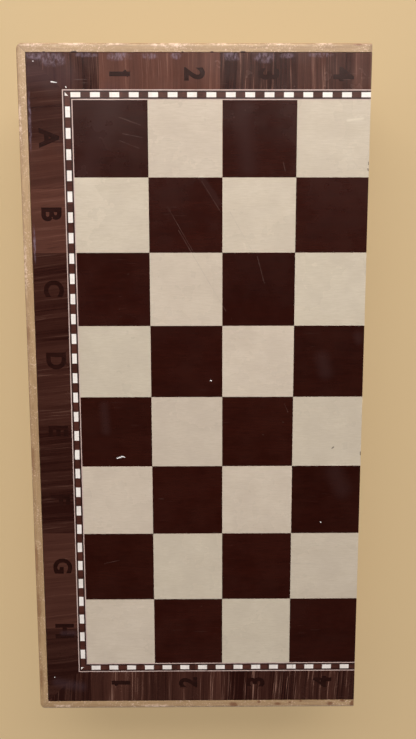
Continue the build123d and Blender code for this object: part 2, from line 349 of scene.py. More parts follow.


# The scratches and nicks that the played face of ranks 1 to 4 has, and its painted reflections, in squares
# from A1's corner
faceDamageAndSheen = {
    "hairs": [  # start, end, width in millimetres
        ((1.40, 1.70), (2.05, 2.80), 0.28),
        ((1.25, 1.38), (1.62, 2.02), 0.17),
        ((1.72, 1.05), (1.98, 1.46), 0.22),
        ((2.48, 2.05), (2.58, 2.42), 0.2),
        ((0.62, 0.22), (0.90, 0.32), 0.2),
        ((0.66, 0.43), (0.92, 0.48), 0.22),
        ((0.62, 0.52), (0.88, 0.62), 0.18),
        ((2.82, 0.80), (2.85, 0.92), 0.22),
        ((2.98, 6.46), (3.38, 6.47), 0.22),
        ((0.28, 6.45), (0.50, 6.40), 0.2),
        ((2.88, 4.10), (2.93, 4.22), 0.2),
        ((1.08, 5.48), (1.15, 5.48), 0.25),
        ((2.10, 1.45), (2.42, 2.00), 0.2),
        ((2.52, 8.04), (2.52, 8.085), 0.5),
        ((3.05, 8.04), (3.05, 8.085), 0.5),
    ],
    "nicks": [
        ((0.50, 4.88), (0.57, 4.855), 0.42),
        ((0.58, 4.85), (0.605, 4.865), 0.32),
        ((1.835, 3.765), (1.85, 3.77), 0.42),
        ((3.42, 5.83), (3.43, 5.84), 0.4),
        ((3.565, 4.745), (3.59, 4.725), 0.42),
        ((3.972, 0.80), (3.974, 0.83), 0.4),
        ((3.968, 0.89), (3.972, 0.91), 0.45),
        ((3.974, 4.80), (3.975, 4.84), 0.4),
        ((-0.275, -0.232), (-0.20, -0.222), 0.32),
        ((-0.085, -0.17), (-0.08, -0.16), 0.5),
        ((-0.51, -0.49), (-0.50, -0.49), 0.4),
        ((-0.50, 8.215), (-0.495, 8.22), 0.4),
    ],
    "haze": [  # centre and half sizes in millimetres, a dull bloom at the veneer's edge
        ((-0.46, -0.56), (7.0, 2.6)), ((-0.25, -0.52), (10.0, 5.0)), ((0.20, -0.57), (8.0, 1.8)),
        ((0.62, -0.555), (8.5, 3.2)), ((1.04, -0.56), (5.5, 2.4)), ((1.38, -0.56), (4.0, 2.6)),
        ((2.12, -0.555), (6.5, 3.2)), ((2.55, -0.55), (7.5, 4.2)), ((2.86, -0.56), (5.0, 2.0)),
        ((3.3, -0.57), (9.0, 1.8)), ((-0.575, 0.25), (1.1, 20.0)), ((-0.57, 1.9), (0.9, 14.0)),
    ],
    "hazeDepth": 9.0, "hazeRagged": 0.45,
    "mottle": ((1.2, 5.0, 0.7), (0.36, 0.66)), "mottleStretch": (1.0, 0.4, 1.0),
    "paintedGleams": [  # painted reflections: start, end, width in millimetres
        ((0.52, 0.00), (0.14, 0.95), 13.0), ((2.26, 0.02), (2.34, 0.85), 10.0),
        ((0.50, 0.40), (0.51, 0.42), 3.0), ((0.33, 4.12), (0.35, 4.48), 4.5),
        ((3.89, 3.14), (3.91, 3.20), 4.5), ((3.62, 5.10), (3.72, 5.35), 9.0),
        ((1.72, 1.00), (1.95, 1.34), 3.0), ((3.68, 0.26), (3.88, 0.235), 1.3),
        ((3.40, 3.45), (3.45, 3.65), 7.0), ((-0.46, 8.30), (-0.10, 8.37), 5.0),
        ((-0.50, -0.35), (-0.10, -0.30), 12.0), ((-0.36, 7.52), (-0.18, 7.52), 2.5),
    ],
}


def makeFaceMarks():
    look = faceDamageAndSheen
    group, given, out = newGroup(
        "faceMarks", [("Vector", "Vector", (0, 0, 0))], ["Hairs", "Nicks", "Haze", "Gleams"])
    place = given["Vector"]
    haze = patches(group, place, look["haze"], look["hazeDepth"], 0.0, look["hazeRagged"])
    upright = vectorCalc(group, "MULTIPLY", place, look["mottleStretch"])
    mottle = noiseMask(group, upright, *look["mottle"])
    putOut(group, out, Hairs=strokes(group, place, scratchMark, look["hairs"]),
           Nicks=strokes(group, place, scratchMark, look["nicks"]),
           Gleams=strokes(group, place, softStroke, look["paintedGleams"]),
           Haze=times(group, haze, mottle))
    return group


faceMarks = makeFaceMarks()


def newMaterial(name):
    material = bpy.data.materials.new(name)
    material.use_nodes = True
    tree = material.node_tree
    tree.nodes.clear()
    place = scaleVector(tree, addNode(tree, "ShaderNodeTexCoord").outputs["Object"], mm)
    return material, tree, place


def closeMaterial(tree, baseColour, roughness, height, relief, **fixed):
    bump = addNode(tree, "ShaderNodeBump", {"Height": height, "Strength": 1.0, "Distance": relief / mm})
    inputs = {"Base Color": baseColour, "Roughness": roughness, "Normal": bump.outputs[0]}
    surface = addNode(tree, "ShaderNodeBsdfPrincipled", inputs)
    for title, value in fixed.items():
        surface.inputs[title.replace("_", " ")].default_value = value
    addNode(tree, "ShaderNodeOutputMaterial", (surface.outputs[0],))


def grainWay(tree, place, along):  # the grain group wants the grain along X
    if along == "x":
        return place
    x, y, z = separate(tree, place)
    return combine(tree, y, x, z)


def grainOf(tree, place, look, **changed):  # a look's grain; what it doesn't say is as the group has it
    inputs = {"Vector": place, "Stretch": look["stretch"], "Band": look["band"], "Fibre": look["fibre"]}
    inputs.update(changed)
    return useGroup(tree, woodGrain, inputs)


def woodColour(tree, grain, look):  # bands and fibres between two colours, and the pores
    figure = weighted(tree, (grain["Bands"], look["bandShare"]), (grain["Fibres"], 1.0 - look["bandShare"]))
    base = mixColour(tree, figure, look["low"], look["high"])
    return layOver(tree, base, look["pore"], grain["Pores"], look["poreStrength"])


def perPiece(tree, place, pitch):  # one random number for each square or block
    moved = vectorCalc(tree, "SUBTRACT", place, (mm * gridLow.x, mm * gridLow.y, 0.0))
    counted = vectorCalc(tree, "FLOOR", vectorCalc(tree, "DIVIDE", moved, (*pitch, mm * midHeight)))
    return addNode(tree, "ShaderNodeTexWhiteNoise", {"Vector": counted}).outputs["Value"]


# The marks, the painted reflections and the gloss that all of the played face shares
lacquerLook = {
    "tint": (1.0, 0.8, 0.74, 1.0),  # the old lacquer's warm gleam
    "fineShare": 0.35,  # of fine handling scratches, against the drawn ones
    "dustStrength": 0.35, "smearEdges": (0.35, 0.65), "wornRoughness": 0.3,
    "grainHeight": 0.35, "nickDepth": 3.0,
}


def lacquered(tree, place, base, grain, look):
    film = useGroup(tree, lacquerFilm, {"Vector": place, "Seed": look["seed"]})
    marks = useGroup(tree, faceMarks, {"Vector": place})
    fine = times(tree, film["Hairlines"], look["hairStrength"] * lacquerLook["fineShare"])
    worn = calc(tree, "MAXIMUM", times(tree, marks["Hairs"], look["hairStrength"]), fine)
    base = layOver(tree, base, look["hairColour"], worn)
    base = layOver(tree, base, look["hazeColour"], marks["Haze"], look["hazeStrength"])
    # painted reflections: a paler sheen laid into the lacquer's colour
    base = layOver(tree, base, look["paintedSheenColour"], marks["Gleams"], look["paintedSheenStrength"])
    base = layOver(tree, base, look["dustColour"], film["Dust"], lacquerLook["dustStrength"])
    base = layOver(tree, base, look["nickColour"], marks["Nicks"], look["nickStrength"])
    gloss = remap(tree, film["Smears"], *lacquerLook["smearEdges"], *look["gloss"])
    roughness = calc(tree, "ADD", gloss, times(tree, worn, lacquerLook["wornRoughness"]))
    height = times(tree, grain["Height"], lacquerLook["grainHeight"])
    height = calc(tree, "ADD", height, film["Height"])
    height = minus(tree, height, times(tree, marks["Nicks"], lacquerLook["nickDepth"]))
    closeMaterial(tree, base, roughness, height, look["relief"], Specular_Tint=lacquerLook["tint"])


# The light and the dark squares, each square cut from its own bit of veneer
squareLooks = {
    "lightSquares": {
        "low": screenColour(199, 184, 165), "high": screenColour(210, 196, 179), "bandShare": 0.2,
        "pore": screenColour(186, 168, 146), "poreStrength": 0.35,
        "band": 9.0, "fibre": 0.6, "stretch": 9.0, "seed": 3.0,
        "tone": 0.06, "tints": ((1.0, 0.982, 0.985, 1.0), (0.985, 0.994, 0.972, 1.0)),
        "cloudColour": screenColour(188, 173, 157), "cloudStrength": 0.32,
        "hairColour": screenColour(158, 146, 134), "hairStrength": 0.35,
        "hazeColour": screenColour(200, 196, 190), "hazeStrength": 0.0,
        # painted highlight: the light squares' sheen colour
        "paintedSheenColour": screenColour(238, 226, 206), "paintedSheenStrength": 0.3,
        "dustColour": screenColour(120, 105, 90),
        "nickColour": screenColour(60, 50, 45), "nickStrength": 0.8,
        "gloss": (0.24, 0.32), "relief": 0.008,
    },
    "darkSquares": {
        "low": screenColour(36, 7, 3), "high": screenColour(50, 15, 8), "bandShare": 0.3,
        "pore": screenColour(25, 4, 2), "poreStrength": 0.5,
        "band": 7.0, "fibre": 0.6, "stretch": 14.0, "seed": 7.0,
        "tone": 0.18, "tints": ((1.0, 0.95, 0.95, 1.0), (0.97, 1.0, 1.0, 1.0)),
        "cloudColour": screenColour(56, 24, 17), "cloudStrength": 0.3,
        "hairColour": screenColour(128, 104, 96), "hairStrength": 0.2,
        "hazeColour": screenColour(92, 80, 88), "hazeStrength": 0.12,
        # painted reflection: a paler brown sheen on the dark squares
        "paintedSheenColour": screenColour(58, 36, 34), "paintedSheenStrength": 0.4,
        "dustColour": screenColour(140, 125, 115),
        "nickColour": screenColour(235, 230, 228), "nickStrength": 1.0,
        "gloss": (0.22, 0.3), "relief": 0.008,
    },
}
squareCutting = {"seedSpread": 3.0, "tintSpread": 7.3, "clouds": ((14.0,), (0.34, 0.7))}


def makeSquares(name):
    look, cutting = squareLooks[name], squareCutting
    material, tree, place = newMaterial(name)
    own = perPiece(tree, place, (mm * squareSize, mm * squareSize))
    grain = grainOf(tree, place, look, Seed=times(tree, own, cutting["seedSpread"]))
    base = woodColour(tree, grain, look)
    clouds = noiseMask(tree, place, *cutting["clouds"])
    base = layOver(tree, base, look["cloudColour"], clouds, look["cloudStrength"])
    shade = remap(tree, own, 0.0, 1.0, 1.0 - look["tone"], 1.0)
    tone = addNode(tree, "ShaderNodeCombineColor", (shade, shade, shade)).outputs[0]
    base = mixColour(tree, 1.0, base, tone, "MULTIPLY")
    side = calc(tree, "FRACT", times(tree, own, cutting["tintSpread"]))
    base = mixColour(tree, 1.0, base, mixColour(tree, side, *look["tints"]), "MULTIPLY")
    lacquered(tree, place, base, grain, look)
    return material


# Border veneer, with the grain across each strip, which is jointed from several leaves
borderLook = {
    "deep": screenColour(38, 12, 8), "pale": screenColour(106, 66, 54), "streak": screenColour(142, 106, 92),
    "pore": screenColour(26, 7, 4), "poreStrength": 0.4,
    "stretch": 60.0, "band": 2.6, "fibre": 0.55, "wander": 3.5, "seed": 11.0,
    "broad": {"stretch": 12.0, "band": 13.0, "fibre": 2.0}, "broadSeed": 5.0,
    "shares": (0.26, 0.34, 0.3), "middle": 0.45,  # of broad bands, bands and fibres, and what they average
    "rippleSize": 0.9, "rippleStretch": (1.0, 0.5, 1.0), "ripple": 0.16,  # across the grain
    "lineEdges": (0.7, 0.95), "lineBands": (0.4, 0.8), "lowerShift": 1.3,
    "hairColour": screenColour(150, 125, 118), "hairStrength": 0.25,
    "hazeColour": screenColour(136, 118, 132), "hazeStrength": 0.6,
    # painted reflection: a greyish-purple sheen on the border
    "paintedSheenColour": screenColour(72, 54, 60), "paintedSheenStrength": 0.3,
    "dustColour": screenColour(170, 155, 150),
    "nickColour": screenColour(240, 236, 236), "nickStrength": 1.0,
    "gloss": (0.2, 0.28), "relief": 0.01,
}
borderStrips = {  # leaves: where each begins, in squares from A1's corner, how pale it is, how streaky
    "borderAEnd": {"along": "y", "seed": 3.0, "slant": 0.0, "contrast": 0.7, "leaves": [
        (-9.0, 0.26, 0.3), (-0.02, 0.1, 0.2), (0.36, 0.62, 0.45), (1.97, 0.1, 0.8), (3.0, 0.36, 0.6),
        (3.38, 0.2, 0.5), (3.75, 0.36, 0.5)]},
    "borderHEnd": {"along": "y", "seed": 6.0, "slant": 0.05, "contrast": 0.65, "leaves": [
        (-9.0, 0.06, 0.2), (0.04, 0.32, 0.8), (0.72, 0.25, 0.45), (1.62, 0.34, 1.0), (1.98, 0.11, 0.5),
        (2.3, 0.14, 1.0)]},
    "borderOuter": {"along": "x", "seed": 1.0, "slant": -0.11, "contrast": 0.36, "leaves": [
        (-9.0, 0.14, 0.1), (0.55, 0.36, 0.12), (1.15, 0.52, 0.15), (2.0, 0.12, 0.25), (3.2, 0.2, 0.3),
        (4.4, 0.1, 0.2), (5.99, 0.4, 0.15), (7.45, 0.1, 0.1)]},
}


def leafOf(tree, place, strip):  # how pale the leaf at this place is, and how streaky
    x, y, z = separate(tree, place)

    # How far along the strip, in squares; the lower half's leaves are jointed elsewhere
    lower = times(tree, calc(tree, "LESS_THAN", z, mm * midHeight), borderLook["lowerShift"])
    if strip["along"] == "y":
        far = minus(tree, x, mm * gridLow.x)
    else:
        far = minus(tree, mm * gridHigh.y, y)
    far = minus(tree, calc(tree, "DIVIDE", far, mm * squareSize), lower)
    pale, streaky = strip["leaves"][0][1:]
    for start, nextPale, nextStreaky in strip["leaves"][1:]:
        step = calc(tree, "GREATER_THAN", far, start)
        rest = minus(tree, 1.0, step)
        pale = weighted(tree, (rest, pale), (step, nextPale))
        streaky = weighted(tree, (rest, streaky), (step, nextStreaky))
    return pale, streaky


def makeBorder(name):
    look, strip = borderLook, borderStrips[name]
    material, tree, place = newMaterial(name)
    inputs = {"Vector": place, "Rotation": (0, 0, strip["slant"])}
    leaning = addNode(tree, "ShaderNodeMapping", inputs).outputs[0]
    way = grainWay(tree, leaning, strip["along"])
    grain = grainOf(tree, way, look, Wander=look["wander"], Seed=strip["seed"])
    broad = grainOf(tree, way, look["broad"], Seed=strip["seed"] + look["broadSeed"])
    pale, streaky = leafOf(tree, place, strip)
    ripple = noise(tree, vectorCalc(tree, "MULTIPLY", way, look["rippleStretch"]), look["rippleSize"])
    varied = weighted(tree, *zip((broad["Bands"], grain["Bands"], grain["Fibres"]), look["shares"]),
                      (centred(tree, ripple), look["ripple"]))
    contrast = times(tree, minus(tree, varied, look["middle"]), strip["contrast"])
    base = mixColour(tree, calc(tree, "ADD", pale, contrast, clamp=True), look["deep"], look["pale"])
    lines = times(tree, remap(tree, grain["Fibres"], *look["lineEdges"]),
                  remap(tree, grain["Bands"], *look["lineBands"]))
    base = layOver(tree, base, look["streak"], lines, streaky)
    base = layOver(tree, base, look["pore"], grain["Pores"], look["poreStrength"])
    lacquered(tree, place, base, grain, look)
    return material


# Stringing lines and the row of blocks
stringingLooks = {
    "lightLines": {"low": screenColour(186, 158, 150), "high": screenColour(206, 184, 176),
                   "pore": screenColour(130, 100, 92)},
    "lightBlocks": {"low": screenColour(228, 217, 210), "high": screenColour(246, 238, 232),
                    "pore": screenColour(190, 170, 160)},
    "darkLines": {"low": screenColour(34, 13, 10), "high": screenColour(48, 22, 18),
                  "pore": screenColour(22, 9, 7)},
    "darkBlocks": {"low": screenColour(42, 17, 12), "high": screenColour(90, 50, 41),
                   "pore": screenColour(34, 13, 10)},
}
stringingCommon = {
    "pitch": (5.6, 5.7), "stretch": 6.0, "band": 4.0, "fibre": 0.5, "seedSpread": 2.0, "ownShare": 0.5,
    "poreStrength": 0.35, "seed": 5.0,
    "hairColour": screenColour(140, 120, 112), "hairStrength": 0.3,
    "hazeColour": screenColour(120, 110, 122), "hazeStrength": 0.15,
    "paintedSheenColour": screenColour(120, 110, 122), "paintedSheenStrength": 0.0,
    "dustColour": screenColour(70, 45, 40),
    "nickColour": screenColour(240, 236, 236), "nickStrength": 0.8,
    "gloss": (0.28, 0.4), "relief": 0.01,
}


def makeStringing(name):
    look, common = stringingLooks[name], stringingCommon
    material, tree, place = newMaterial(name)
    own = perPiece(tree, place, common["pitch"])
    grain = grainOf(tree, place, common, Seed=times(tree, own, common["seedSpread"]))
    figure = weighted(tree, (own, common["ownShare"]), (grain["Fibres"], 1.0 - common["ownShare"]))
    base = mixColour(tree, figure, look["low"], look["high"])
    base = layOver(tree, base, look["pore"], grain["Pores"], common["poreStrength"])
    lacquered(tree, place, base, grain, common)
    return material


# Pale solid wood of the rails, darker towards the edges, with the stains that the lip has
railLook = {
    "low": screenColour(156, 124, 90), "high": screenColour(184, 152, 114), "bandShare": 0.5,
    "pore": screenColour(132, 98, 68), "poreStrength": 0.4,
    "stretch": 22.0, "band": 6.0, "fibre": 0.8, "seeds": {"x": 2.0, "y": 4.0},
    "edgeDark": screenColour(120, 88, 58), "edgeDarkStrength": 0.5, "edgeDarkReach": 3.4,
    "fleck": screenColour(232, 202, 180), "fleckStrength": 0.8,
    "lipEdges": (2.2, 0.6),  # below the play faces
    "flecks": ((1.0, 4.0, 0.7), (0.52, 0.68)), "fleckPatches": ((16.0,), (0.4, 0.6, 0.15, 1.0)),
    "rubStrength": 0.7, "rubUneven": ((2.6, 4.0, 0.65), (0.38, 0.62)),
    "stain": screenColour(112, 64, 34), "stainStrength": 0.75, "smearStrength": 0.42,
    "chipColour": screenColour(58, 30, 24), "spotDepth": 4.0, "spotSunk": 0.5, "spotRagged": 0.7,
    "seam": screenColour(96, 66, 40), "seamStrength": 0.5, "seamEdges": (0.32, 0.05), "seamDepth": 0.8,
    "scuff": screenColour(206, 184, 156), "scuffStrength": 0.35, "filmSeed": 9.0,
    "smearEdges": (0.35, 0.65), "gloss": (0.38, 0.55), "relief": 0.03,
    "stains": [  # squares from A1's corner, half sizes in millimetres
        ((2.17, 8.67), (4.2, 2.0)), ((2.55, 8.63), (1.6, 1.2)), ((2.84, 8.66), (2.6, 1.3)),
        ((3.02, 8.64), (1.4, 1.2)), ((3.18, 8.62), (1.2, 0.9)), ((3.62, 8.66), (3.0, 1.8)),
        ((3.80, 8.62), (2.4, 1.0)), ((3.95, 8.66), (1.6, 2.2)), ((3.80, -0.70), (3.4, 1.2)),
    ],
    "smears": [
        ((-0.70, 7.10), (2.4, 14.0)), ((-0.71, 6.40), (2.2, 12.0)), ((-0.69, 8.2), (2.2, 12.0)),
        ((-0.70, 4.9), (1.9, 12.0)), ((-0.70, 3.1), (1.8, 8.0)),
    ],
    "chips": [  # where the lacquer has broken away beside the veneer
        ((0.03, -0.607), (2.6, 0.8)), ((1.47, -0.606), (1.2, 0.7)), ((1.86, -0.604), (1.4, 0.6)),
        ((2.27, -0.607), (2.0, 0.7)), ((-0.36, -0.604), (1.0, 0.5)),
    ],
    "rubs": [  # where the lacquer of the lip is rubbed pale
        ((-0.52, -0.70), (8.0, 1.8)), ((0.02, -0.715), (10.0, 1.3)), ((0.60, -0.715), (8.0, 1.2)),
        ((1.30, -0.70), (15.0, 2.0)), ((1.96, -0.71), (8.0, 1.5)), ((2.75, -0.715), (9.0, 1.2)),
        ((3.35, -0.715), (6.0, 1.2)), ((-0.71, 0.3), (1.6, 16.0)), ((-0.71, 2.2), (1.4, 20.0)),
        ((1.0, 8.68), (12.0, 1.4)), ((-0.4, 8.68), (7.0, 1.4)),
    ],
}


def makeRailWood(name, along):
    look = railLook
    material, tree, place = newMaterial(name)
    x, y, z = separate(tree, place)
    grain = grainOf(tree, grainWay(tree, place, along), look, Seed=look["seeds"][along])
    base = woodColour(tree, grain, look)

    # Edges: darker towards the edges of the closed board, flecked pale on the lips
    endY = mm * cadHigh.y
    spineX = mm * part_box("upper_panel")[1].x
    box = {"Low": (-spineX, -endY, 0.0), "High": (spineX, endY, mm * faceHeight)}
    nearEdge = useGroup(tree, edgeNearness, {"Vector": place, "Reach": look["edgeDarkReach"], **box})["Edge"]
    base = layOver(tree, base, look["edgeDark"], nearEdge, look["edgeDarkStrength"])
    fromMiddle = calc(tree, "ABSOLUTE", minus(tree, z, mm * midHeight))
    onLip = remap(tree, fromMiddle, *[mm * midHeight - below for below in look["lipEdges"]])
    flecks = times(tree, noiseMask(tree, place, *look["flecks"]),
                   noiseMask(tree, place, *look["fleckPatches"]))
    base = layOver(tree, base, look["fleck"], times(tree, flecks, onLip), look["fleckStrength"])

    def spots(kind):
        return patches(tree, place, look[kind], look["spotDepth"], look["spotSunk"], look["spotRagged"])

    rubbed = times(tree, spots("rubs"), noiseMask(tree, place, *look["rubUneven"]))
    base = layOver(tree, base, look["fleck"], rubbed, look["rubStrength"])
    base = layOver(tree, base, look["stain"], spots("stains"), look["stainStrength"])
    base = layOver(tree, base, look["stain"], spots("smears"), look["smearStrength"])
    base = layOver(tree, base, look["chipColour"], spots("chips"))

    # The glue line of each mitre, at the two outer corners
    fromSide = calc(tree, "ADD", x, spineX)
    fromEnd = minus(tree, endY, calc(tree, "ABSOLUTE", y))
    seam = remap(tree, calc(tree, "ABSOLUTE", minus(tree, fromSide, fromEnd)), *look["seamEdges"])
    outerHalf = calc(tree, "LESS_THAN", x, 0.0)
    base = layOver(tree, base, look["seam"], times(tree, seam, outerHalf), look["seamStrength"])

    film = useGroup(tree, lacquerFilm, {"Vector": place, "Seed": look["filmSeed"]})
    base = layOver(tree, base, look["scuff"], film["Hairlines"], look["scuffStrength"])
    roughness = remap(tree, film["Smears"], *look["smearEdges"], *look["gloss"])
    height = minus(tree, grain["Height"], times(tree, seam, look["seamDepth"]))
    closeMaterial(tree, base, roughness, height, look["relief"])
    return material


# Bare plywood, with its plies at the sawn edge
plyLook = {
    "low": screenColour(188, 152, 104), "high": screenColour(214, 184, 138), "bandShare": 0.65,
    "pore": screenColour(150, 112, 70), "poreStrength": 0.5,
    "stretch": 14.0, "band": 16.0, "fibre": 1.0, "wander": 9.0, "seed": 6.0,
    "core": screenColour(150, 108, 66), "coreStrength": 0.8,
    "coreTop": (1.75, 1.85), "coreFoot": (3.3, 3.2),  # millimetres below the play face
    "roughness": (0.62, 0.8), "relief": 0.05,
}


def makePlywood(name):
    look = plyLook
    material, tree, place = newMaterial(name)
    grain = grainOf(tree, grainWay(tree, place, "y"), look, Wander=look["wander"], Seed=look["seed"])
    base = woodColour(tree, grain, look)
    fromMiddle = calc(tree, "ABSOLUTE", minus(tree, separate(tree, place)[2], mm * midHeight))
    fromFace = minus(tree, mm * midHeight, fromMiddle)
    core = times(tree, remap(tree, fromFace, *look["coreTop"]), remap(tree, fromFace, *look["coreFoot"]))
    base = layOver(tree, base, look["core"], core, look["coreStrength"])
    roughness = remap(tree, grain["Fibres"], 0.0, 1.0, *look["roughness"])
    closeMaterial(tree, base, roughness, grain["Height"], look["relief"])
    return material


# Brass of the hinges, hooks and pins
brassLook = {
    "clean": screenColour(226, 192, 128), "dull": screenColour(158, 122, 72),
    "stretch": 40.0, "band": 1.6, "fibre": 0.22, "seed": 8.0, "brushedShare": 0.3,
    "clouds": ((7.0, 6.0, 0.62), (0.32, 0.72)), "cloudShare": 0.6,
    "spot": screenColour(92, 66, 40), "spots": ((1.1, 3.0, 0.6), (0.66, 0.76)), "spotStrength": 0.5,
    "scratch": screenColour(244, 222, 170), "scratchStrength": 0.6, "filmSeed": 12.0,
    "slotEdges": (0.31, 0.28), "slotStrength": 0.8, "gloss": (0.26, 0.5), "relief": 0.012,
}


def makeBrass(name, along, slots=None):
    look = brassLook
    material, tree, place = newMaterial(name)
    brushed = grainOf(tree, grainWay(tree, place, along), look, Wander=0.0, Seed=look["seed"])
    clouds = noiseMask(tree, place, *look["clouds"])
    tarnish = weighted(tree, (clouds, look["cloudShare"]), (brushed["Bands"], look["brushedShare"]))
    film = useGroup(tree, lacquerFilm, {"Vector": place, "Seed": look["filmSeed"]})
    base = mixColour(tree, tarnish, look["clean"], look["dull"])
    base = layOver(tree, base, look["spot"], noiseMask(tree, place, *look["spots"]), look["spotStrength"])
    base = layOver(tree, base, look["scratch"], film["Hairlines"], look["scratchStrength"])
    if slots:  # dirt in the slots, which run along Y at this height
        off = calc(tree, "ABSOLUTE", minus(tree, separate(tree, place)[2], mm * slots))
        base = layOver(tree, base, look["spot"], remap(tree, off, *look["slotEdges"]), look["slotStrength"])
    roughness = remap(tree, tarnish, 0.0, 1.0, *look["gloss"])
    height = minus(tree, brushed["Fibres"], film["Hairlines"])
    closeMaterial(tree, base, roughness, height, look["relief"], Metallic=1.0)
    return material


# The coordinates' ink, under the same lacquer
inkLook = {
    "low": screenColour(27, 8, 5), "high": screenColour(43, 17, 13),
    "stretch": 10.0, "band": 4.0, "fibre": 0.6, "seed": 14.0,
}


def makeInk(name):
    look = inkLook
    material, tree, place = newMaterial(name)
    grain = grainOf(tree, place, look, Seed=look["seed"])
    base = mixColour(tree, grain["Fibres"], look["low"], look["high"])
    lacquered(tree, place, base, grain, borderLook)
    return material


squareMaterials = {name: makeSquares(name) for name in squareLooks}
stringingMaterials = {name: makeStringing(name) for name in stringingLooks}
borderMaterials = {name: makeBorder(name) for name in borderStrips}
railAcross = makeRailWood("railAcross", "x")
railAlong = makeRailWood("railAlong", "y")
plywood = makePlywood("plywood")
brassAlong = makeBrass("brassAlong", "y")
brassUpright = makeBrass("brassUpright", "x")
pivotLow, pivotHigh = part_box("hook_pivot_screws")
brassPivots = makeBrass("brassPivots", "x", (pivotLow.z + pivotHigh.z) / 2)
ink = makeInk("ink")
print("finishes made")

dress = {
    "outer_rail": railAlong, "hinge_rail": railAlong, "a_end_rail": railAcross, "h_end_rail": railAcross,
    "panel": plywood,
    "light_squares": squareMaterials["lightSquares"], "dark_squares": squareMaterials["darkSquares"],
    "border_outer": borderMaterials["borderOuter"], "border_a_end": borderMaterials["borderAEnd"],
    "border_h_end": borderMaterials["borderHEnd"], "banding_light_lines": stringingMaterials["lightLines"],
    "banding_dark_lines": stringingMaterials["darkLines"],
    "banding_light_blocks": stringingMaterials["lightBlocks"],
    "banding_dark_blocks": stringingMaterials["darkBlocks"],
}


def giveFinish(piece, material):
    piece.data.materials.clear()
    piece.data.materials.append(material)


for name, piece in nodes.items():
    half, _, rest = name.partition("_")
    material = dress[rest] if half in ("upper", "lower") else brassAlong
    if name.startswith("hook") or name == "catch_pins":
        material = brassPivots if name == "hook_pivot_screws" else brassUpright
    giveFinish(piece, material)
print("frame dressed")


def selectOnly(*pieces):  # the first one is the one that the next step works on
    for each in bpy.context.selected_objects:
        each.select_set(False)
    for piece in pieces:
        piece.select_set(True)
    if pieces:
        bpy.context.view_layer.objects.active = pieces[0]


def applyPlace():
    bpy.ops.object.transform_apply(location=True, rotation=True, scale=True)


def cutOrJoin(piece, tool, operation):  # uses the tool up
    change = piece.modifiers.new("change", "BOOLEAN")
    change.operation = operation
    change.object = tool
    change.solver = "EXACT"
    bpy.context.view_layer.objects.active = piece
    bpy.ops.object.modifier_apply(modifier=change.name)
    bpy.data.objects.remove(tool)
    selectOnly(piece)


def joinPieces(pieces, name):
    selectOnly(*pieces)
    bpy.ops.object.join()
    joined = bpy.context.object
    joined.name = name
    joined.data.name = name
    return joined


# Coordinates on the border of both halves
coordinates = {
    "capHeight": 0.0116,
    "narrow": 0.92,  # width against the plain letter's
    "weight": 0.042,  # how far the strokes are thickened, against the letter's size
    "curveSteps": 6,
    "thickness": 0.00002,
    "flag": (0.36, 0.15, 34.0),  # length and width against the cap height, and slope in degrees
    "letterAcross": -0.325,  # squares from A1's corner
    "letterDown": 0.485,
    "aEndDown": -0.33, "aEndAcross": 0.635, "aEndPitch": 0.992,
    "hEndDown": 8.31, "hEndAcross": 0.49, "hEndPitch": 1.003,
}


def addFlag(glyph, low, high):  # the slanting stroke at the head of the figure 1
    long, wide, slope = coordinates["flag"]
    tall = high.y - low.y
    lean = math.radians(slope)
    selectOnly()
    bpy.ops.mesh.primitive_cube_add(size=1, location=(0, 0, 0))
    flag = bpy.context.object
    flag.scale = (long * tall, wide * tall, high.z - low.z)
    flag.rotation_euler = (0, 0, lean)
    left = high.x - 0.5 * long * tall * math.cos(lean)
    flag.location = (left, high.y - 0.5 * tall * (wide + long * math.sin(lean)), 0)
    applyPlace()
    cutOrJoin(glyph, flag, "UNION")


def drawGlyph(character, place, top, facing):
    selectOnly()
    bpy.ops.object.text_add(location=(0, 0, 0))
    glyph = bpy.context.object
    glyph.data.body = character
    glyph.data.offset = coordinates["weight"]
    glyph.data.resolution_u = coordinates["curveSteps"]
    glyph.data.extrude = 0.5
    bpy.ops.object.convert(target="MESH")
    glyph = bpy.context.object
    corners = [Vector(corner) for corner in glyph.bound_box]
    low = Vector([min(corner[i] for corner in corners) for i in range(3)])
    high = Vector([max(corner[i] for corner in corners) for i in range(3)])
    if character == "1":
        addFlag(glyph, low, high)
    size = coordinates["capHeight"] / (high.y - low.y)
    right = top.cross(facing)
    turn = Matrix((right, top, facing)).transposed().to_4x4()
    resize = Matrix.Diagonal((size * coordinates["narrow"], size, coordinates["thickness"], 1.0))
    glyph.matrix_world = Matrix.Translation(place) @ turn @ resize @ Matrix.Translation(-(low + high) / 2)
    applyPlace()
    return glyph


def drawCoordinates(half):
    facing = Vector((0, 0, 1)) if half == "upper" else Vector((0, 0, -1))
    level = faceHeight if half == "upper" else 0.0
    toFold, fromFold = Vector((1, 0, 0)), Vector((-1, 0, 0))
    look = coordinates

    def spot(across, down):
        return Vector(facePoint(across, down, level))

    glyphs = []
    for row, letter in enumerate("ABCDEFGH"):
        place = spot(look["letterAcross"], row + look["letterDown"])
        glyphs.append(drawGlyph(letter, place, toFold, facing))
    numbers = "1234" if half == "upper" else "8765"
    for rank, number in enumerate(numbers):
        aEnd = spot(look["aEndAcross"] + rank * look["aEndPitch"], look["aEndDown"])
        hEnd = spot(look["hEndAcross"] + rank * look["hEndPitch"], look["hEndDown"])
        glyphs.append(drawGlyph(number, aEnd, toFold if half == "upper" else fromFold, facing))
        glyphs.append(drawGlyph(number, hEnd, fromFold if half == "upper" else toFold, facing))
    printed = joinPieces(glyphs, half + "_coordinates")
    giveFinish(printed, ink)
    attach(printed, half + "_tray")


for half in ("upper", "lower"):
    drawCoordinates(half)
print("coordinates drawn")


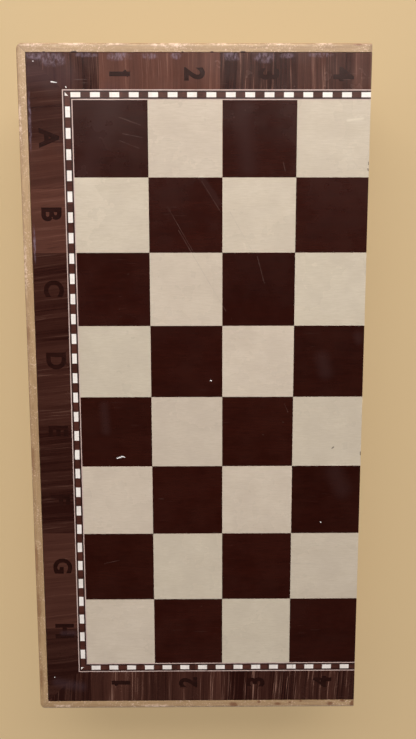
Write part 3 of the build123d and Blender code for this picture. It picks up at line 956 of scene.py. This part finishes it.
# Countersunk slotted screws of the hinge leaves
leafScrew = {
    "headRadius": 0.00198, "shankRadius": 0.00108, "headDepth": 0.00088,
    "slotWidth": 0.00045, "slotDepth": 0.0003,
    "fromLeafEnd": 0.0065, "fromFreeEdge": 0.0042, "faceBelowKnuckle": 0.00215, "sunk": 0.00004,
    "sides": 40, "smoothBelow": 35,  # degrees
    "turns": (20, -35, 75, 5, 50, -10, 88, -62),  # where each slot came to rest, in degrees
}


def makeLeafScrew():
    selectOnly()
    depth = leafScrew["headDepth"]
    bpy.ops.mesh.primitive_cylinder_add(vertices=leafScrew["sides"], radius=leafScrew["headRadius"],
                                        depth=depth, location=(0, 0, -depth / 2))
    screw = bpy.context.object
    applyPlace()
    bpy.ops.object.mode_set(mode="EDIT")
    bpy.ops.mesh.select_mode(type="FACE")
    bpy.ops.mesh.select_all(action="DESELECT")
    bpy.ops.object.mode_set(mode="OBJECT")
    for face in screw.data.polygons:
        face.select = face.normal.z < -0.9  # the foot, drawn in to the shank
    bpy.ops.object.mode_set(mode="EDIT")
    narrow = leafScrew["shankRadius"] / leafScrew["headRadius"]
    bpy.ops.transform.resize(value=(narrow, narrow, 1))
    bpy.ops.object.mode_set(mode="OBJECT")
    selectOnly()
    bpy.ops.mesh.primitive_cube_add(size=1, location=(0, 0, 0))
    cutter = bpy.context.object  # longer than the head is wide, and half of it above the head
    cutter.scale = (3 * leafScrew["headRadius"], leafScrew["slotWidth"], 2 * leafScrew["slotDepth"])
    applyPlace()
    cutOrJoin(screw, cutter, "DIFFERENCE")
    bpy.ops.object.shade_smooth_by_angle(angle=math.radians(leafScrew["smoothBelow"]))
    return screw


def placeScrew(pattern, place, turn):
    copy = pattern.copy()
    copy.data = pattern.data.copy()
    bpy.context.collection.objects.link(copy)
    outOfSpine = Matrix.Rotation(math.radians(90), 4, "Y")
    copy.matrix_world = Matrix.Translation(place) @ outOfSpine @ Matrix.Rotation(math.radians(turn), 4, "Z")
    selectOnly(copy)
    applyPlace()
    return copy


def fitLeafScrews():
    pattern = makeLeafScrew()
    turns = iter(leafScrew["turns"])
    for half in ("upper", "lower"):
        copies = []
        for end in ("a", "h"):
            low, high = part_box(f"hinge_{end}_{half}_leaf")
            inward, fromEnd = leafScrew["fromFreeEdge"], leafScrew["fromLeafEnd"]
            z = high.z - inward if half == "upper" else low.z + inward
            faceX = high.x - leafScrew["faceBelowKnuckle"] - leafScrew["sunk"]
            for y in (low.y + fromEnd, high.y - fromEnd):
                copies.append(placeScrew(pattern, (faceX, y, z), next(turns)))
        heads = joinPieces(copies, half + "_leaf_screws")
        giveFinish(heads, brassUpright)
        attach(heads, half + "_tray")
    bpy.data.objects.remove(pattern)


fitLeafScrews()
print("leaf screws fitted")


# Floor, light and camera
stage = {
    "floorSize": 40.0, "floorGap": 0.0001, "floorColour": screenColour(184, 160, 123), "floorRoughness": 0.9,
    "backColour": screenColour(230, 198, 150),
    "fadeFrom": 0.45, "fadeTo": 1.3,  # metres from the board's middle
    "fadeLeast": 0.45,  # the backdrop's share beside the board, so that its shadow stays soft
    "skyFrom": 0.25, "skyTo": 0.55,  # how high the pale backdrop reaches, as the sine of the angle
    "roomGlow": 0.035, "glowColour": (1.0, 0.97, 0.93, 1.0),
}
lamps = {
    "topLamp": {"place": (0.04, 1.06, 0.84), "size": (2.1, 0.56), "watts": 32.0, "colour": (1.0, 0.98, 0.95)},
    "sideLamp": {"place": (-1.6, 0.6, 0.75), "size": (2.0, 1.2), "watts": 14.0, "colour": (1.0, 0.98, 0.97)},
    "fillLamp": {"place": (1.7, 0.2, 0.7), "size": (2.0, 1.1), "watts": 6.0, "colour": (0.98, 0.98, 1.0)},
    "endLamp": {"place": (0.1, -1.7, 0.33), "size": (1.8, 0.55), "watts": 7.0, "colour": (1.0, 0.98, 0.97)},
}
view = {  # the camera's place in squares from A1's corner: across, down, and above the face
    "across": 1.7626, "down": 2.9219, "above": 6.9855, "tilt": (-5.624, -0.309, -0.117), "lens": 24.357,
    "sensorWidth": 36.0, "clipStart": 0.01,
}


def seenRays(tree):  # 1 for what the camera, a gloss or glass looks at
    rays = addNode(tree, "ShaderNodeLightPath").outputs
    return most(tree, [rays["Is Camera Ray"], rays["Is Glossy Ray"], rays["Is Transmission Ray"]])


def layFloor():
    selectOnly()
    bpy.ops.mesh.primitive_plane_add(size=stage["floorSize"], location=(0, 0, -stage["floorGap"]))
    floor = bpy.context.object
    floor.name = "floor"
    applyPlace()
    material = bpy.data.materials.new("floorPaint")
    material.use_nodes = True
    tree = material.node_tree
    surface = tree.nodes["Principled BSDF"]
    surface.inputs["Base Color"].default_value = stage["floorColour"]
    surface.inputs["Roughness"].default_value = stage["floorRoughness"]
    place = addNode(tree, "ShaderNodeTexCoord").outputs["Object"]
    away = vectorCalc(tree, "LENGTH", place)
    away = remap(tree, away, stage["fadeFrom"], stage["fadeTo"], stage["fadeLeast"])
    backdrop = addNode(tree, "ShaderNodeEmission", {"Color": stage["backColour"]}).outputs[0]
    share = times(tree, away, seenRays(tree))
    blend = addNode(tree, "ShaderNodeMixShader", (share, surface.outputs[0], backdrop)).outputs[0]
    tree.links.new(blend, tree.nodes["Material Output"].inputs[0])
    floor.data.materials.append(material)


def hangLamps():
    for name, lamp in lamps.items():
        light = bpy.data.lights.new(name, "AREA")
        light.shape = "RECTANGLE"
        light.size, light.size_y = lamp["size"]
        light.energy = lamp["watts"]
        light.color = lamp["colour"]
        hung = bpy.data.objects.new(name, light)
        hung.location = lamp["place"]
        aim = Vector((0, 0, midHeight)) - Vector(lamp["place"])
        hung.rotation_euler = aim.to_track_quat("-Z", "Y").to_euler()
        bpy.context.scene.collection.objects.link(hung)


def paintRoom():
    world = bpy.data.worlds.new("room")
    world.use_nodes = True
    tree = world.node_tree
    glow = tree.nodes["Background"]
    glow.inputs["Color"].default_value = stage["glowColour"]
    glow.inputs["Strength"].default_value = stage["roomGlow"]
    backdrop = addNode(tree, "ShaderNodeBackground", {"Color": stage["backColour"]}).outputs[0]
    height = separate(tree, addNode(tree, "ShaderNodeTexCoord").outputs["Generated"])[2]
    low = remap(tree, height, stage["skyTo"], stage["skyFrom"])
    share = times(tree, low, seenRays(tree))
    blend = addNode(tree, "ShaderNodeMixShader", (share, glow.outputs[0], backdrop)).outputs[0]
    tree.links.new(blend, tree.nodes["World Output"].inputs[0])
    bpy.context.scene.world = world


def setCamera():
    camera = bpy.data.cameras.new("camera")
    camera.lens = view["lens"]
    camera.sensor_width = view["sensorWidth"]
    camera.clip_start = view["clipStart"]
    holder = bpy.data.objects.new("camera", camera)
    holder.location = facePoint(view["across"], view["down"], faceHeight + view["above"] * squareSize)
    holder.rotation_euler = [math.radians(angle) for angle in view["tilt"]]
    bpy.context.scene.collection.objects.link(holder)
    bpy.context.scene.camera = holder


layFloor()
hangLamps()
paintRoom()
setCamera()
bpy.context.scene.view_settings.view_transform = "Standard"
print("stage, lamps and camera set")
